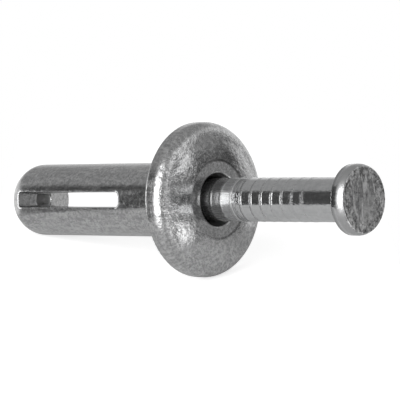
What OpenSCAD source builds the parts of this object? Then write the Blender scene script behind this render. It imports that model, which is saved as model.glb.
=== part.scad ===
// Hammer drive anchor: a die-cast zinc mushroom-head body with a slotted, closed
// shank, and the steel drive nail that stands out of it before it is struck home.
// It lies on a flat surface as it comes to rest, on the rim of its head and the
// round of its closed end.
//
// Along the anchor's own axis, lengths are measured from the underside of the
// mushroom head: towards the closed end of the shank downwards, towards the
// nail's head upwards.

/* [Shank] */

// Diameter of the round shank, a little under the hole it goes into
shank_d = 6.2; // [5.4:0.1:7.4]

// Length of the shank from the underside of the head to its closed end
shank_l = 20.6; // [17:0.1:32]

// Rounding between the side of the shank and its closed end
tip_round = 2.4; // [0.8:0.1:2.5]

// Fillet where the shank runs into the underside of the head
root_fillet = 0.4; // [0.1:0.05:0.9]

/* [Mushroom head] */

// Diameter of the mushroom head over its rim
head_d = 12.8; // [11:0.1:16]

// Height of the straight rim band
rim_h = 0.75; // [0.3:0.05:1.2]

// Rounding of the lower edge of the rim
rim_edge = 0.15; // [0.05:0.05:0.3]

// Rounding of the shoulder between the rim and the dome
shoulder_r = 1.0; // [0.5:0.05:1.2]

// Height the dome would reach on the axis, above the underside of the head
dome_h = 2.5; // [2.2:0.05:3.5]

// How far the flat seat for the nail's head lies below that height
seat_drop = 0.25; // [0.2:0.01:0.4]

/* [Bore] */

// Diameter of the countersunk mouth in the flat seat
mouth_d = 4.5; // [4.3:0.05:5]

// Depth of the countersunk mouth
mouth_h = 0.7; // [0.3:0.05:1.2]

// Radial clearance between the nail's ring marks and the bore
fit_gap = 0.05; // [0.03:0.01:0.12]

// Diameter of the blind core-pin hole in the end wall of the slot
core_pin_d = 1.8; // [1:0.05:2]

// Width of the core-pin hole across its two flats
core_pin_w = 1.0; // [0.5:0.05:1.1]

// Depth of the core-pin hole behind the end wall of the slot
core_pin_h = 0.9; // [0.3:0.05:1.2]

/* [Slot] */

// Distance from the underside of the head to the near end of the slot
slot_start = 6.3; // [3:0.1:9]

// Solid metal left between the end wall of the slot and the closed end
tip_wall = 2.0; // [1.6:0.1:4]

// Width of the slot where it opens on the outside of the shank
slot_w = 1.35; // [1.2:0.05:2]

// Narrowing of the slot on each side towards the middle of the shank
slot_draft = 0.11; // [0.02:0.01:0.2]

// Corner rounding at the head end of the slot
slot_corner = 0.55; // [0.05:0.05:0.6]

/* [Drive nail] */

// Diameter of the plain nail shank
nail_d = 3.55; // [3.2:0.05:3.8]

// Clear height from the seat to the nail's head: the travel when it is driven
nail_out = 14.1; // [8:0.1:16]

// Gap left between the driven nail's point and the end wall of the slot
point_gap = 0.25; // [0.1:0.05:1]

// Length of the tapered point
point_l = 3.4; // [2:0.1:4.5]

// Diameter of the blunt end of the point
point_d = 1.5; // [0.6:0.1:1.6]

/* [Nail head] */

// Diameter of the nail's flat head
nail_head_d = 5.6; // [5:0.1:6.2]

// Thickness of the nail's head
nail_head_h = 1.1; // [0.8:0.05:1.6]

// Height of the straight side of the nail's head
nail_side_h = 0.55; // [0.2:0.05:0.7]

// Rounding of the struck edge of the nail's head
nail_crown_r = 0.86; // [0.7:0.01:1.4]

// Diameter of the neck where it meets the underside of the nail's head
neck_d = 4.2; // [3.9:0.05:4.25]

// Height of the conical neck under the nail's head
neck_h = 0.4; // [0.2:0.05:0.6]

/* [Ring marks] */

// Distance between the ring marks
ring_pitch = 1.08; // [0.7:0.01:1.2]

// Height of a ring mark above the nail's shank
ring_h = 0.02; // [0.01:0.01:0.09]

// Width of a ring mark at its foot
ring_w = 0.3; // [0.2:0.05:0.6]

// Plain length between the underside of the nail's head and the first ring mark
ring_clear = 3.7; // [2:0.1:5]

// Plain length kept between the last ring mark and the tapered point
ring_end = 0.8; // [0.4:0.1:4]

/* [Lie] */

// Turn of the body about its own axis as it lies, which turns the slot
slot_turn = -11; // [-60:1:60]

/* [Hidden] */

$fn = 96;

shank_r = shank_d / 2;
head_r = head_d / 2;

// Dome: an arc centred on the axis that runs tangent into the shoulder rounding
rise = dome_h - rim_h;
shoulder_x = head_r - shoulder_r;
dome_r = (shoulder_x * shoulder_x + rise * rise - shoulder_r * shoulder_r)
         / (2 * (rise - shoulder_r));
tangent_x = shoulder_x * dome_r / (dome_r - shoulder_r);
seat_h = dome_h - seat_drop;

// Slot and bore
slot_end = shank_l - tip_wall;
bore_r = nail_d / 2 + ring_h + fit_gap;
point_from = slot_end - point_gap - point_l;
slot_reach = shank_r + 1;
slot_mid_w = slot_w - 2 * slot_draft;
slot_far_w = slot_mid_w + 2 * slot_draft * slot_reach / shank_r;

// Nail, placed by the seat it will be driven on to
under_h = seat_h + nail_out;
nail_l = seat_h + slot_end - point_gap;
point_h = under_h - nail_l;
top_ring_h = under_h - ring_clear;
last_ring_h = point_h + point_l + ring_end;
ring_count = floor((top_ring_h - last_ring_h) / ring_pitch) + 1;
nail_r = nail_d / 2;
nail_head_r = nail_head_d / 2;
nail_top_h = under_h + nail_head_h;
nail_face_r = nail_head_r - nail_crown_r
              + sqrt(pow(nail_crown_r, 2) - pow(nail_head_h - nail_side_h, 2));

// Lie: the line under the part touches the rim edge and the rounded closed end
span_s = rim_edge + shank_l - tip_round;
span_r = (head_r - rim_edge) - (shank_r - tip_round);
span = sqrt(span_s * span_s + span_r * span_r);
lie_tilt = atan2(span_r, span_s) - asin((tip_round - rim_edge) / span);
lie_z = (head_r - rim_edge) * cos(lie_tilt) + rim_edge - rim_edge * sin(lie_tilt);
tip_x = -(shank_l - tip_round) * cos(lie_tilt) - (shank_r - tip_round) * sin(lie_tilt)
        - tip_round;
face_x = nail_top_h * cos(lie_tilt) + nail_face_r * sin(lie_tilt);
lie_x = -(tip_x + face_x) / 2;

// Stands a piece that is built upright on its axis into the way the anchor lies
module lie() {
    translate([lie_x, 0, lie_z])
        rotate([0, -lie_tilt, 0])
            rotate([slot_turn, 0, 0])
                rotate([0, 90, 0])
                    children();
}

// A quarter of a disc in the corner at x, y, opening to the right and up or down
module quarter(x, y, r, up = true) {
    intersection() {
        translate([x, y])
            circle(r);
        translate([x, up ? y : y - r])
            square(r);
    }
}

// Half section of the shank with its rounded closed end and its root fillet
module shank_profile() {
    translate([0, -(shank_l - tip_round)])
        square([shank_r, shank_l - tip_round]);
    translate([0, -shank_l])
        square([shank_r - tip_round, tip_round]);
    quarter(shank_r - tip_round, -(shank_l - tip_round), tip_round, up = false);
    difference() {
        translate([shank_r, -root_fillet])
            square(root_fillet);
        translate([shank_r + root_fillet, -root_fillet])
            circle(root_fillet);
    }
}

// Half section of the mushroom head, cut flat for the nail's head
module head_profile() {
    square([head_r - rim_edge, rim_h]);
    translate([0, rim_edge])
        square([head_r, rim_h - rim_edge]);
    quarter(head_r - rim_edge, rim_edge, rim_edge, up = false);
    quarter(shoulder_x, rim_h, shoulder_r);
    intersection() {
        translate([0, dome_h - dome_r])
            circle(dome_r, $fn = 720);
        translate([0, rim_h])
            square([tangent_x, seat_h - rim_h]);
    }
}

// The stepped bore: countersunk mouth, nail bore and taper for the point
module bore() {
    rotate_extrude()
        polygon([
            [0, -slot_end],
            [core_pin_d / 2, -slot_end],
            [bore_r, -point_from],
            [bore_r, seat_h - mouth_h],
            [mouth_d / 2, seat_h],
            [mouth_d / 2, seat_h + 1],
            [0, seat_h + 1]
        ]);
}

// Blind hole that the tip of the core pin leaves: round, with two flats
module pin_hole() {
    translate([0, 0, -slot_end - core_pin_h])
        linear_extrude(core_pin_h + 0.1)
            intersection() {
                circle(core_pin_d / 2);
                square([core_pin_w, core_pin_d], center = true);
            }
}

// Outline of the slot seen square on, with rounded corners at the head end
module slot_window() {
    translate([-slot_far_w / 2, 0])
        square([slot_far_w, slot_end - slot_start - slot_corner]);
    translate([-slot_w / 2 + slot_corner, 0])
        square([slot_w - 2 * slot_corner, slot_end - slot_start]);
    for (side = [-1, 1])
        translate([side * (slot_w / 2 - slot_corner), slot_end - slot_start - slot_corner])
            circle(slot_corner);
}

// The slot runs right through the shank and narrows from both sides to the middle
module slot() {
    translate([0, 0, -slot_end])
        intersection() {
            linear_extrude(slot_end - slot_start)
                polygon([
                    [slot_far_w / 2, -slot_reach],
                    [slot_mid_w / 2, 0],
                    [slot_far_w / 2, slot_reach],
                    [-slot_far_w / 2, slot_reach],
                    [-slot_mid_w / 2, 0],
                    [-slot_far_w / 2, -slot_reach]
                ]);
            rotate([90, 0, 0])
                linear_extrude(2 * slot_reach, center = true)
                    slot_window();
        }
}

// Die-cast body: head, shank, bore and slot in one casting
module anchor_body() {
    color([0.66, 0.67, 0.68])
        lie()
            difference() {
                rotate_extrude() {
                    shank_profile();
                    head_profile();
                }
                bore();
                pin_hole();
                slot();
            }
}

// Half section of the nail's shank: blunt point, ring marks and conical neck
module nail_profile() {
    polygon(concat(
        [
            [0, point_h],
            [point_d / 2, point_h],
            [nail_r, point_h + point_l]
        ],
        [
            for (i = [ring_count - 1:-1:0], k = [[0, -0.5], [1, -0.2], [1, 0.2], [0, 0.5]])
                [nail_r + k[0] * ring_h, top_ring_h - i * ring_pitch + k[1] * ring_w]
        ],
        [
            [nail_r, under_h - neck_h],
            [neck_d / 2, under_h],
            [0, under_h]
        ]
    ));
}

// Half section of the nail's head: straight side below, rounded struck edge above
module nail_head_profile() {
    translate([0, under_h])
        square([nail_head_r, nail_side_h]);
    intersection() {
        translate([nail_head_r - nail_crown_r, under_h + nail_side_h])
            circle(nail_crown_r);
        translate([0, under_h + nail_side_h])
            square([nail_head_r, nail_head_h - nail_side_h]);
    }
    translate([0, under_h + nail_side_h])
        square([nail_head_r - nail_crown_r, nail_head_h - nail_side_h]);
}

// Zinc-plated steel nail, headed and ring-marked from one piece of wire
module drive_nail() {
    color([0.74, 0.75, 0.77])
        lie()
            rotate_extrude() {
                nail_profile();
                nail_head_profile();
            }
}

anchor_body();
drive_nail();
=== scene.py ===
# Hammer drive anchor lying on a white table: a die-cast zinc body and the steel
# nail that stands out of it. The frame already holds both pieces at their real
# size, so this script gives them their finish and sets the studio round them.
import math

import bpy
from mathutils import Matrix, Vector

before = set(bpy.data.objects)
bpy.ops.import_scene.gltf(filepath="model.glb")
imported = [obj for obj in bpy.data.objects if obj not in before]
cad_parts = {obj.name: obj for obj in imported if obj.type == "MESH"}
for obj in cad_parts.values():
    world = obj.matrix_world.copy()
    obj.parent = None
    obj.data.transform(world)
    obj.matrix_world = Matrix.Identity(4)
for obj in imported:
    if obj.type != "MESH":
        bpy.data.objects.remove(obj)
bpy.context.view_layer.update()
scene = bpy.context.scene
scene.view_settings.view_transform = "Standard"

# ---------------------------------------------------------------- die-cast body
# One casting in zinc alloy: mushroom head, slotted shank, closed round end. It is
# plated in a barrel, where its edges rub bright and the shoulder of its head gets
# knocked, and it grips the nail in its bore.
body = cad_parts["anchor_body"]

# How the anchor lies: its axis rises towards the nail from the middle of the
# head's underside, and the slot runs through the shank square to the axis.
LIE_TILT = math.radians(10.088)
HEAD_UNDERSIDE = Vector((0.0014027, 0.0, 0.0062771))
THROUGH_SLOT = (0.0, 0.9812, -0.193)
MM_IN_METRE = 1000.0

# Landmarks of the body in millimetres: along the axis from the underside of the
# head, positive towards the nail's head, and out from the axis.
SLOT_END_ALONG = -18.6
RIM_TOP_ALONG = 0.75
SEAT_ALONG = 2.25
PIN_HOLE_OUT = 0.90
MOUTH_OUT = 2.25
SHANK_OUT = 3.10
SEAT_STEP_OUT = 3.24
SHOULDER_OUT = 5.40
RIM_OUT = 6.40

CAST_DARK = (0.37, 0.372, 0.375, 1)
CAST_PALE = (0.58, 0.582, 0.585, 1)
CAST_BLOOM = (0.44, 0.44, 0.442, 1)
STREAK_PALE = (0.68, 0.68, 0.68, 1)
STREAK_DARK = (0.30, 0.30, 0.302, 1)
PIT_DARK = (0.25, 0.25, 0.252, 1)
RUBBED_ZINC = (0.74, 0.745, 0.75, 1)
# Painted shade for the step round the seat.
STEP_PAINTED_SHADE = (0.14, 0.14, 0.14, 1)
# Painted shade for the pin hole, bore and mouth.
RECESS_PAINTED_SHADE = (0.34, 0.34, 0.34, 1)
PIN_HOLE_GREY = (0.62, 0.62, 0.62, 1)
# Painted light for the far half of the slot's end wall.
END_WALL_PAINTED_LIGHT = (0.95, 0.95, 0.95, 1)

# Metres: how far wear reaches from an edge, how round the edges look, and how
# deep the skin's relief is.
ZINC_WEAR_REACH = 0.00016
ZINC_EDGE_RADIUS = 0.00022
ZINC_RELIEF = 0.000010

ZINC_ROUGH = (0.13, 0.19)


def fill(tree, sockets, values):
    """Links or writes a value to each socket; None leaves a socket as it is."""
    for socket, value in zip(sockets, values):
        if isinstance(value, bpy.types.NodeSocket):
            tree.links.new(value, socket)
        elif value is not None:
            socket.default_value = value


def add_node(tree, kind, values=None, **settings):
    """Adds a node; values fill its inputs by name, settings are its own options."""
    node = tree.nodes.new(kind)
    for name, value in settings.items():
        setattr(node, name, value)
    values = values or {}
    fill(tree, [node.inputs[name] for name in values], values.values())
    return node


def maths(tree, operation, a, b=None, c=None):
    node = add_node(tree, "ShaderNodeMath", operation=operation)
    fill(tree, node.inputs, (a, b, c))
    return node.outputs[0]


def product(tree, first, *others):
    for other in others:
        first = maths(tree, "MULTIPLY", first, other)
    return first


def raised(tree, base, amount, mask):
    """The base value with a share of the amount added where the mask lies."""
    return maths(tree, "MULTIPLY_ADD", mask, amount, base)


def vector_maths(tree, operation, a, b=None, scale=None):
    node = add_node(tree, "ShaderNodeVectorMath", operation=operation)
    fill(tree, node.inputs, (a, b, None, scale))
    return node.outputs["Value" if operation in ("DOT_PRODUCT", "LENGTH") else "Vector"]


def between(tree, value, low, high, out_low=0.0, out_high=1.0):
    """A smooth ramp from out_low to out_high while the value goes from low to high."""
    node = add_node(tree, "ShaderNodeMapRange", interpolation_type="SMOOTHSTEP")
    fill(tree, node.inputs, (value, low, high, out_low, out_high))
    return node.outputs[0]


def mixed(tree, amount, under, over):
    """One colour laid over another, by a mask or by an amount from 0 to 1."""
    node = add_node(tree, "ShaderNodeMix", data_type="RGBA")
    factor, colour_a, colour_b = node.inputs[0], node.inputs[6], node.inputs[7]
    fill(tree, (factor, colour_a, colour_b), (amount, under, over))
    return node.outputs[2]


def noise(tree, vector, scale, detail, roughness, distortion=0.0):
    return add_node(tree, "ShaderNodeTexNoise", {
        "Vector": vector, "Scale": scale, "Detail": detail,
        "Roughness": roughness, "Distortion": distortion}).outputs["Fac"]


def new_group(name, inputs, outputs):
    """An empty shader node group. Sockets give a name and kind, and inputs a value."""
    tree = bpy.data.node_groups.new(name, "ShaderNodeTree")
    for socket_name, kind, value in inputs:
        socket = tree.interface.new_socket(socket_name, in_out="INPUT", socket_type=kind)
        socket.default_value = value
    for socket_name, kind in outputs:
        tree.interface.new_socket(socket_name, in_out="OUTPUT", socket_type=kind)
    entry = tree.nodes.new("NodeGroupInput")
    leave = tree.nodes.new("NodeGroupOutput")
    return tree, entry.outputs, leave.inputs


def emptied_tree(owner):
    """The node tree of a material or world, switched on and cleared."""
    owner.use_nodes = True
    owner.node_tree.nodes.clear()
    return owner.node_tree


# Where a point lies on the anchor, in millimetres: along the axis from the
# underside of the head, out from the axis, and a vector to hang a texture on.
place_group, _, place_out = new_group(
    "Anchor Place", [],
    [("Along", "NodeSocketFloat"), ("Out", "NodeSocketFloat"), ("Point", "NodeSocketVector")])
coords = add_node(place_group, "ShaderNodeTexCoord")
shifted = vector_maths(place_group, "SUBTRACT", coords.outputs["Object"], HEAD_UNDERSIDE)
levelled = add_node(place_group, "ShaderNodeVectorRotate",
                    {"Vector": shifted, "Angle": LIE_TILT}, rotation_type="Y_AXIS")
in_mm = vector_maths(place_group, "SCALE", levelled.outputs[0], scale=MM_IN_METRE)
parts = add_node(place_group, "ShaderNodeSeparateXYZ", {"Vector": in_mm})
across = add_node(place_group, "ShaderNodeCombineXYZ",
                  {"X": 0.0, "Y": parts.outputs["Y"], "Z": parts.outputs["Z"]})
fill(place_group, (place_out["Along"], place_out["Out"], place_out["Point"]),
     (parts.outputs["X"], vector_maths(place_group, "LENGTH", across.outputs[0]), in_mm))

# Edge wear: the difference between the true normal and one rounded off.
wear_group, wear_in, wear_out = new_group(
    "Rubbed Edges",
    [("Reach", "NodeSocketFloat", 0.00012), ("Break-up", "NodeSocketFloat", 0.5)],
    [("Mask", "NodeSocketFloat")])
rounded = add_node(wear_group, "ShaderNodeBevel", {"Radius": wear_in["Reach"]}, samples=6)
true_face = add_node(wear_group, "ShaderNodeNewGeometry")
facing = vector_maths(wear_group, "DOT_PRODUCT", rounded.outputs[0], true_face.outputs["Normal"])
bare = between(wear_group, facing, 0.995, 0.90)
patchy = between(wear_group, wear_in["Break-up"], 0.30, 0.62)
fill(wear_group, (wear_out["Mask"],), (product(wear_group, bare, patchy),))


def anchor_place(tree):
    """Along, Out and Point of the place group, as sockets of a material."""
    place = add_node(tree, "ShaderNodeGroup", node_tree=place_group)
    return place.outputs["Along"], place.outputs["Out"], place.outputs["Point"]


def rubbed_edges(tree, reach, break_up):
    wear = add_node(tree, "ShaderNodeGroup", node_tree=wear_group)
    fill(tree, (wear.inputs["Reach"], wear.inputs["Break-up"]), (reach, break_up))
    return wear.outputs["Mask"]


def metal_skin(tree, tone, metallic, rough, relief, depth, edge_radius, edge_samples):
    """The metal's shader: a bumped skin over edges that catch the light."""
    softened = add_node(tree, "ShaderNodeBevel", {"Radius": edge_radius}, samples=edge_samples)
    bump = add_node(tree, "ShaderNodeBump", {
        "Height": relief, "Strength": 1.0, "Distance": depth, "Normal": softened.outputs[0]})
    shader = add_node(tree, "ShaderNodeBsdfPrincipled", {
        "Base Color": tone, "Metallic": metallic, "Roughness": rough, "Normal": bump.outputs[0]})
    add_node(tree, "ShaderNodeOutputMaterial", {"Surface": shader.outputs[0]})


tree = emptied_tree(body.data.materials[0])
along, out, point = anchor_place(tree)
bloom = noise(tree, point, 0.45, 3.0, 0.55, 0.4)
mottle = noise(tree, point, 3.6, 5.0, 0.66)
speckle = noise(tree, point, 7.0, 1.0, 0.5)
grain = noise(tree, point, 17.0, 2.0, 0.6)
dimple = noise(tree, point, 2.4, 1.0, 0.5)
flow = add_node(tree, "ShaderNodeMapping", {"Vector": point, "Scale": (0.18, 1.0, 1.0)})
streak = noise(tree, flow.outputs[0], 2.6, 4.0, 0.6, 0.5)
through = vector_maths(tree, "DOT_PRODUCT", point, THROUGH_SLOT)

# Edges rub bright, but less on the rim than elsewhere.
wear = product(tree, rubbed_edges(tree, ZINC_WEAR_REACH, mottle),
               between(tree, out, RIM_OUT - 0.35, RIM_OUT - 0.15, 1.0, 0.15))
# The core pin's hole, the bore and its mouth are painted dark grey as shade; the pin hole is also
# made a dull, less metallic grey.
pin_hole = product(tree, between(tree, along, SLOT_END_ALONG - 0.02, SLOT_END_ALONG - 0.10),
                   between(tree, out, PIN_HOLE_OUT + 0.08, PIN_HOLE_OUT),
                   between(tree, along, SLOT_END_ALONG - 1.50, SLOT_END_ALONG - 1.20))
bored = product(tree, between(tree, out, MOUTH_OUT - 0.03, MOUTH_OUT - 0.13),
                between(tree, along, -2.0, SEAT_ALONG - 0.85), 0.8)
recess = maths(tree, "MAXIMUM", pin_hole, bored)
# The far half of the slot's end wall is painted pale as light that comes through the slot from
# behind.
end_wall_light = product(tree, between(tree, along, SLOT_END_ALONG + 0.10, SLOT_END_ALONG + 0.02),
                    between(tree, through, 0.55, 0.95),
                    between(tree, out, SHANK_OUT - 0.06, SHANK_OUT - 0.18),
                    between(tree, along, SLOT_END_ALONG - 0.35, SLOT_END_ALONG - 0.12),
                    between(tree, mottle, 0.38, 0.62, 0.55, 1.0))
# The shoulder of the head is knocked all round, and the dome is dented on one side.
knocked = product(tree, between(tree, out, SHOULDER_OUT - 0.50, SHOULDER_OUT + 0.30),
                  between(tree, along, RIM_TOP_ALONG - 0.20, RIM_TOP_ALONG + 0.20),
                  between(tree, mottle, 0.25, 0.60, 0.55, 1.0))
dented = product(tree, between(tree, through, -3.9, -4.8),
                 between(tree, along, RIM_TOP_ALONG + 0.05, RIM_TOP_ALONG + 0.45))
# A fine step runs round the flat seat; a dark line of painted shade and reflection lies along it,
# broken in places and heavier to one side.
off_step = maths(tree, "ABSOLUTE", maths(tree, "SUBTRACT", out, SEAT_STEP_OUT))
step = product(tree, between(tree, off_step, 0.17, 0.04),
               between(tree, along, SEAT_ALONG - 0.65, SEAT_ALONG - 0.25),
               between(tree, through, -1.6, 0.6, 0.2, 1.0),
               between(tree, mottle, 0.35, 0.60, 0.3, 0.9))

tone = mixed(tree, between(tree, mottle, 0.38, 0.62), CAST_DARK, CAST_PALE)
tone = mixed(tree, between(tree, bloom, 0.40, 0.62, 0.0, 0.5), tone, CAST_BLOOM)
tone = mixed(tree, between(tree, streak, 0.52, 0.66, 0.0, 0.5), tone, STREAK_PALE)
tone = mixed(tree, between(tree, streak, 0.46, 0.34, 0.0, 0.4), tone, STREAK_DARK)
tone = mixed(tree, between(tree, speckle, 0.55, 0.70, 0.0, 0.6), tone, PIT_DARK)
tone = mixed(tree, product(tree, wear, 0.6), tone, RUBBED_ZINC)
# Painted shade along the step round the seat.
tone = mixed(tree, step, tone, STEP_PAINTED_SHADE)
# Painted shade in the pin hole, bore and mouth.
tone = mixed(tree, recess, tone, RECESS_PAINTED_SHADE)
tone = mixed(tree, product(tree, pin_hole, 0.6), tone, PIN_HOLE_GREY)
# Painted light on the far half of the slot's end wall.
tone = mixed(tree, end_wall_light, tone, END_WALL_PAINTED_LIGHT)

rough = maths(tree, "ADD", between(tree, streak, 0.3, 0.7, *ZINC_ROUGH),
              between(tree, grain, 0.4, 0.75, -0.02, 0.06))
rough = raised(tree, rough, -0.03, wear)
rough = raised(tree, rough, 0.25, recess)
rough = raised(tree, rough, 0.11, knocked)
rough = raised(tree, rough, 0.05, between(tree, out, RIM_OUT - 0.25, RIM_OUT - 0.05))

relief = raised(tree, dimple, 0.5, speckle)
relief = product(tree, relief, raised(tree, 1.0, 1.5, knocked), raised(tree, 1.0, 1.2, dented))
metallic = raised(tree, 1.0, -0.6, pin_hole)
metal_skin(tree, tone, metallic, rough, relief, ZINC_RELIEF, ZINC_EDGE_RADIUS, 6)

# ------------------------------------------------------------------ drive nail
# Drawn steel wire, headed cold and zinc-plated bright. Ring marks are rolled
# round it below the head to hold in the casting, and the face is dull where
# tools have struck it.
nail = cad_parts["drive_nail"]

# Landmarks of the nail in millimetres, measured as on the body.
FIRST_RING_ALONG = 12.65
NAIL_HEAD_ALONG = 16.35
NAIL_SIDE_TOP_ALONG = 16.90
NAIL_FACE_ALONG = 17.45
NAIL_OUT = 1.775

WIRE_DARK = (0.52, 0.525, 0.53, 1)
WIRE_PALE = (0.60, 0.605, 0.61, 1)
DIE_LINE = (0.40, 0.405, 0.41, 1)
CROWN_GREY = (0.34, 0.34, 0.34, 1)
# Painted shade for the neck under the head.
NECK_PAINTED_SHADE = (0.20, 0.20, 0.20, 1)
RING_GREY = (0.30, 0.30, 0.30, 1)
# Painted shade for the wire at the mouth.
ROOT_PAINTED_SHADE = (0.17, 0.17, 0.17, 1)
RUBBED_STEEL = (0.76, 0.765, 0.77, 1)
STRUCK_DARK = (0.30, 0.30, 0.302, 1)
STRUCK_PALE = (0.46, 0.46, 0.462, 1)
SCUFF_PALE = (0.72, 0.72, 0.72, 1)
SCUFF_DARK = (0.17, 0.17, 0.17, 1)
WIPED_PALE = (0.62, 0.62, 0.62, 1)
SPECK_DARK = (0.10, 0.10, 0.10, 1)
SPECK_PALE = (0.80, 0.80, 0.80, 1)

NAIL_WEAR_REACH = 0.00010
NAIL_EDGE_RADIUS = 0.00012
NAIL_BLEND_RADIUS = 0.0004
NAIL_RELIEF = 0.000012
WIRE_ROUGH = (0.09, 0.16)
FACE_ROUGH = (0.16, 0.30)

tree = emptied_tree(nail.data.materials[0])
along, out, point = anchor_place(tree)
mottle = noise(tree, point, 2.6, 5.0, 0.66)
speckle = noise(tree, point, 6.5, 1.0, 0.5)
dimple = noise(tree, point, 2.2, 1.0, 0.5)
drawn = add_node(tree, "ShaderNodeMapping", {"Vector": point, "Scale": (0.07, 1.0, 1.0)})
lines = noise(tree, drawn.outputs[0], 6.0, 2.0, 0.6)
wear = rubbed_edges(tree, NAIL_WEAR_REACH, mottle)

# The struck face: scuffs that run one way, a rubbed patch and specks at its edge.
wiped = add_node(tree, "ShaderNodeMapping",
                 {"Vector": point, "Rotation": (0.45, 0.0, 0.0), "Scale": (1.0, 1.0, 0.22)})
scuff = noise(tree, wiped.outputs[0], 1.9, 2.0, 0.55, 0.8)
patch = noise(tree, point, 0.42, 1.0, 0.5, 0.6)
specks = noise(tree, point, 4.2, 4.0, 0.8)
edge = between(tree, out, 0.9, 2.3, 0.12, 1.0)
pale_specks = product(tree, edge, between(tree, specks, 0.46, 0.40, 0.0, 0.75))
dark_specks = product(tree, edge, between(tree, specks, 0.51, 0.58, 0.0, 0.85))
struck = mixed(tree, between(tree, mottle, 0.38, 0.64), STRUCK_DARK, STRUCK_PALE)
struck = mixed(tree, between(tree, scuff, 0.52, 0.62, 0.0, 0.85), struck, SCUFF_PALE)
struck = mixed(tree, between(tree, scuff, 0.46, 0.38, 0.0, 0.65), struck, SCUFF_DARK)
struck = mixed(tree, between(tree, patch, 0.44, 0.58, 0.0, 0.45), struck, WIPED_PALE)
struck = mixed(tree, dark_specks, struck, SPECK_DARK)
struck = mixed(tree, pale_specks, struck, SPECK_PALE)
face = between(tree, along, NAIL_FACE_ALONG - 0.10, NAIL_FACE_ALONG - 0.03)

# Handling has dulled the rounded edge of the head. A ring from the neck to the edge of the head is
# painted dark as shade, and the ring marks are duller than the wire.
crown = between(tree, along, NAIL_SIDE_TOP_ALONG - 0.22, NAIL_SIDE_TOP_ALONG + 0.05)
crown = maths(tree, "SUBTRACT", crown, face)
neck = product(tree, between(tree, along, NAIL_HEAD_ALONG - 0.45, NAIL_HEAD_ALONG - 0.20),
               between(tree, along, NAIL_HEAD_ALONG + 0.40, NAIL_HEAD_ALONG + 0.10))
marks = product(tree, between(tree, out, NAIL_OUT + 0.001, NAIL_OUT + 0.011),
                between(tree, along, FIRST_RING_ALONG + 0.95, FIRST_RING_ALONG + 0.55),
                between(tree, mottle, 0.25, 0.60, 0.55, 1.0))
# The wire by the mouth, up to a ragged line, is painted dark as shade and dark reflection.
ragged = raised(tree, along, -0.9, mottle)
root = between(tree, ragged, SEAT_ALONG + 1.50, SEAT_ALONG + 1.20)

tone = mixed(tree, between(tree, mottle, 0.3, 0.7), WIRE_DARK, WIRE_PALE)
tone = mixed(tree, between(tree, lines, 0.55, 0.75, 0.0, 0.35), tone, DIE_LINE)
tone = mixed(tree, face, tone, struck)
tone = mixed(tree, product(tree, marks, 0.12), tone, RING_GREY)
# Painted shade on the neck under the head.
tone = mixed(tree, product(tree, neck, 0.5), tone, NECK_PAINTED_SHADE)
tone = mixed(tree, product(tree, crown, 0.5), tone, CROWN_GREY)
# Painted shade on the wire at the mouth.
tone = mixed(tree, product(tree, root, 0.8), tone, ROOT_PAINTED_SHADE)
tone = mixed(tree, product(tree, wear, 0.7), tone, RUBBED_STEEL)

# The bright wire by the mouth is rougher than the rest, short of the root painted dark.
face_rough = product(tree, face, between(tree, mottle, 0.3, 0.7, *FACE_ROUGH))
rough = maths(tree, "ADD", between(tree, lines, 0.3, 0.7, *WIRE_ROUGH), face_rough)
rough = raised(tree, rough, 0.14, maths(tree, "MAXIMUM", root, marks))
rough = raised(tree, rough, 0.25, crown)
rough = raised(tree, rough, 0.17, between(tree, along, SEAT_ALONG + 3.55, SEAT_ALONG + 2.35))
rough = raised(tree, rough, -0.17, root)

relief = product(tree, face, raised(tree, dimple, 0.5, speckle))
relief = raised(tree, raised(tree, relief, 0.9, speckle), 0.30, lines)
# The last ring marks towards the head are rolled so lightly that they blend away.
blend = product(tree, between(tree, along, FIRST_RING_ALONG - 3.05, FIRST_RING_ALONG - 0.25),
                between(tree, along, FIRST_RING_ALONG + 1.55, FIRST_RING_ALONG + 0.75))
edge_radius = raised(tree, NAIL_EDGE_RADIUS, NAIL_BLEND_RADIUS, blend)
metal_skin(tree, tone, 1.0, rough, relief, NAIL_RELIEF, edge_radius, 8)

# ---------------------------------------------------------------------- camera
# A camera with a long lens. It looks square on to the slot and 47 degrees off the
# anchor's axis, a little from above.
CAMERA_AT = Vector((0.118291, -0.130965, 0.053184))
CAMERA_BACK = Vector((0.6427, -0.7212, 0.2583)).normalized()
CAMERA_RIGHT = Vector((0.7466, 0.6653, 0.0)).normalized()
SENSOR_WIDTH = 36.0
FOCAL_LENGTH_IN_WIDTHS = 5.5


def turned_like(right, up, back, at):
    """A placement matrix for a camera or lamp, which both point down their own -Z."""
    return Matrix.Translation(at) @ Matrix((right, up, back)).transposed().to_4x4()


camera_up = CAMERA_BACK.cross(CAMERA_RIGHT).normalized()
camera_data = bpy.data.cameras.new("studio_camera")
camera_data.sensor_width = SENSOR_WIDTH
camera_data.lens = SENSOR_WIDTH * FOCAL_LENGTH_IN_WIDTHS
camera_data.clip_start = 0.01
camera_data.clip_end = 5.0
camera = bpy.data.objects.new("studio_camera", camera_data)
scene.collection.objects.link(camera)
camera.matrix_world = turned_like(CAMERA_RIGHT, camera_up, CAMERA_BACK, CAMERA_AT)
scene.camera = camera

# ----------------------------------------------------------------------- table
# A small white table top under the part, cut square to the camera. It is matt and
# takes the shadow; its own glow shows only to the camera and in reflections.
TABLE_LEFT, TABLE_RIGHT, TABLE_DEEP = -0.0175, 0.0180, 0.120
TABLE_WHITE = (0.64, 0.64, 0.64, 1)
PLAIN_WHITE = (1, 1, 1, 1)
GLOW_SEEN, GLOW_REFLECTED = 0.72, 0.14

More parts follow.
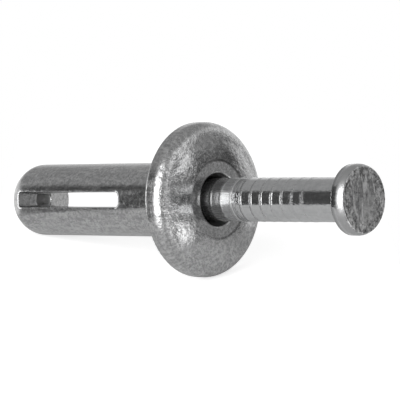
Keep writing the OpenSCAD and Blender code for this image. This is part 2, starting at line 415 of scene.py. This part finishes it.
along_table = Vector((CAMERA_RIGHT.x, CAMERA_RIGHT.y, 0.0)).normalized()
across_table = Vector((-along_table.y, along_table.x, 0.0))
corners = [along_table * side + across_table * end * TABLE_DEEP / 2
           for side, end in ((TABLE_LEFT, -1), (TABLE_RIGHT, -1), (TABLE_RIGHT, 1), (TABLE_LEFT, 1))]
mesh = bpy.data.meshes.new("table_top")
mesh.from_pydata(corners, [], [(0, 1, 2, 3)])
table_top = bpy.data.objects.new("table_top", mesh)
scene.collection.objects.link(table_top)


def ray_kinds(tree):
    """Masks for rays seen straight or through glass, for reflections and for soft light."""
    ray = add_node(tree, "ShaderNodeLightPath").outputs
    seen = maths(tree, "MAXIMUM", ray["Is Camera Ray"], ray["Is Transmission Ray"])
    return seen, ray["Is Glossy Ray"], ray["Is Diffuse Ray"]


white = bpy.data.materials.new("white_table")
tree = emptied_tree(white)
seen, glossy, _ = ray_kinds(tree)
matt = add_node(tree, "ShaderNodeBsdfDiffuse", {"Color": TABLE_WHITE})
glow = raised(tree, maths(tree, "MULTIPLY", glossy, GLOW_REFLECTED), GLOW_SEEN, seen)
lift = add_node(tree, "ShaderNodeEmission", {"Color": PLAIN_WHITE, "Strength": glow})
both = add_node(tree, "ShaderNodeAddShader")
fill(tree, both.inputs, (matt.outputs[0], lift.outputs[0]))
add_node(tree, "ShaderNodeOutputMaterial", {"Surface": both.outputs[0]})
mesh.materials.append(white)

# ---------------------------------------------------------------------- studio
# A pale room that is white to the camera and unlit on its left. A wide soft lamp
# stands left of the camera and a small one behind the part.
WALL_SIDE_ON, WALL_CHANGE = 0.46, 0.9
WALL_DARKEST, WALL_PALEST = 0.06, 0.40
FRONT_DROP = 0.23
SEAM_DEPTH = 0.68
UPPER_PANEL, LOWER_PANEL = 1.65, 2.6
PLAIN_LEVEL = 0.42
UNLIT_LEVEL = 0.18
FILL_LEVEL = 0.38
LAMP_DISTANCE = 0.30
LAMPS_AIMED_AT = Vector((0.0, 0.0, 0.006))
# Name, turn round from the camera in degrees, width and height in metres, watts.
LAMPS = (("left_lamp", -34.0, 0.31, 0.40, 1.60),
         ("rim_lamp", -106.0, 0.08, 0.16, 0.09))

world = bpy.data.worlds.new("pale_studio")
scene.world = world
tree = emptied_tree(world)
direction = add_node(tree, "ShaderNodeTexCoord").outputs["Generated"]
seen, glossy, diffuse = ray_kinds(tree)

# How far the ray goes towards the camera, to its right and up, from -1 to 1.
to_front = vector_maths(tree, "DOT_PRODUCT", direction, CAMERA_BACK)
to_right = vector_maths(tree, "DOT_PRODUCT", direction, CAMERA_RIGHT)
to_top = vector_maths(tree, "DOT_PRODUCT", direction, camera_up)
height = maths(tree, "ABSOLUTE", to_top)

# The wall on the right is palest side on, darker to the front and darkest to the
# back, with a dark seam above the level of the table.
wall = raised(tree, WALL_SIDE_ON, WALL_CHANGE, to_front)
wall = maths(tree, "MINIMUM", maths(tree, "MAXIMUM", wall, WALL_DARKEST), WALL_PALEST)
wall = maths(tree, "SUBTRACT", wall, between(tree, to_front, 0.0, 0.16, 0.0, FRONT_DROP))
seam = product(tree, between(tree, to_top, 0.06, 0.13), between(tree, to_top, 0.32, 0.24))
wall = product(tree, wall, raised(tree, 1.0, -SEAM_DEPTH, seam))
# A lit panel stands above the level of the table and a brighter one below it.
panel = between(tree, raised(tree, to_front, 0.5, height), 0.27, 0.39)
panel = product(tree, panel, between(tree, to_front, 0.86, 0.70),
                between(tree, height, 0.10, 0.24))
panel_level = between(tree, to_top, 0.05, -0.20, UPPER_PANEL, LOWER_PANEL)
wall = maths(tree, "MULTIPLY_ADD", panel, maths(tree, "SUBTRACT", panel_level, wall), wall)
# The rest of the room is one plain level.
on_right = product(tree, between(tree, to_right, -0.1, 0.4), between(tree, height, 0.62, 0.42))
room = maths(tree, "MULTIPLY_ADD", on_right, maths(tree, "SUBTRACT", wall, PLAIN_LEVEL), PLAIN_LEVEL)
# White behind the table, up to a little above and below it.
back_right = raised(tree, product(tree, to_right, -0.25), 0.75, height)
back_right = maths(tree, "SUBTRACT", back_right, to_front)
back_right = product(tree, between(tree, back_right, 0.27, 0.31), between(tree, to_right, -0.3, 0.1))
back_left = product(tree, between(tree, to_front, 0.0, -0.08), between(tree, height, 0.42, 0.28),
                    between(tree, to_right, 0.1, -0.3))
behind = product(tree, maths(tree, "MAXIMUM", back_right, back_left),
                 between(tree, height, 0.70, 0.55))
room = maths(tree, "MULTIPLY_ADD", behind, maths(tree, "SUBTRACT", 1.0, room), room)
# The unlit side of the room.
unlit_way = (-CAMERA_RIGHT + 0.12 * CAMERA_BACK + 0.05 * camera_up).normalized()
to_unlit = vector_maths(tree, "DOT_PRODUCT", direction, unlit_way)
lit = maths(tree, "MAXIMUM", between(tree, to_unlit, 0.81, 0.91, 1.0, UNLIT_LEVEL), behind)
level = raised(tree, seen, product(tree, room, lit), glossy)
level = raised(tree, level, FILL_LEVEL, diffuse)
sky = add_node(tree, "ShaderNodeBackground", {"Color": PLAIN_WHITE, "Strength": level})
add_node(tree, "ShaderNodeOutputWorld", {"Surface": sky.outputs[0]})

for name, turn, wide, high, watts in LAMPS:
    lamp = bpy.data.lights.new(name, "AREA")
    lamp.shape = "RECTANGLE"
    lamp.size, lamp.size_y = wide, high
    lamp.energy = watts
    lamp_stand = bpy.data.objects.new(name, lamp)
    scene.collection.objects.link(lamp_stand)
    turned = math.radians(turn)
    aim = CAMERA_BACK * math.cos(turned) + CAMERA_RIGHT * math.sin(turned)
    stand_at = LAMPS_AIMED_AT + LAMP_DISTANCE * aim
    lamp_stand.matrix_world = turned_like(camera_up.cross(aim), camera_up, aim, stand_at)
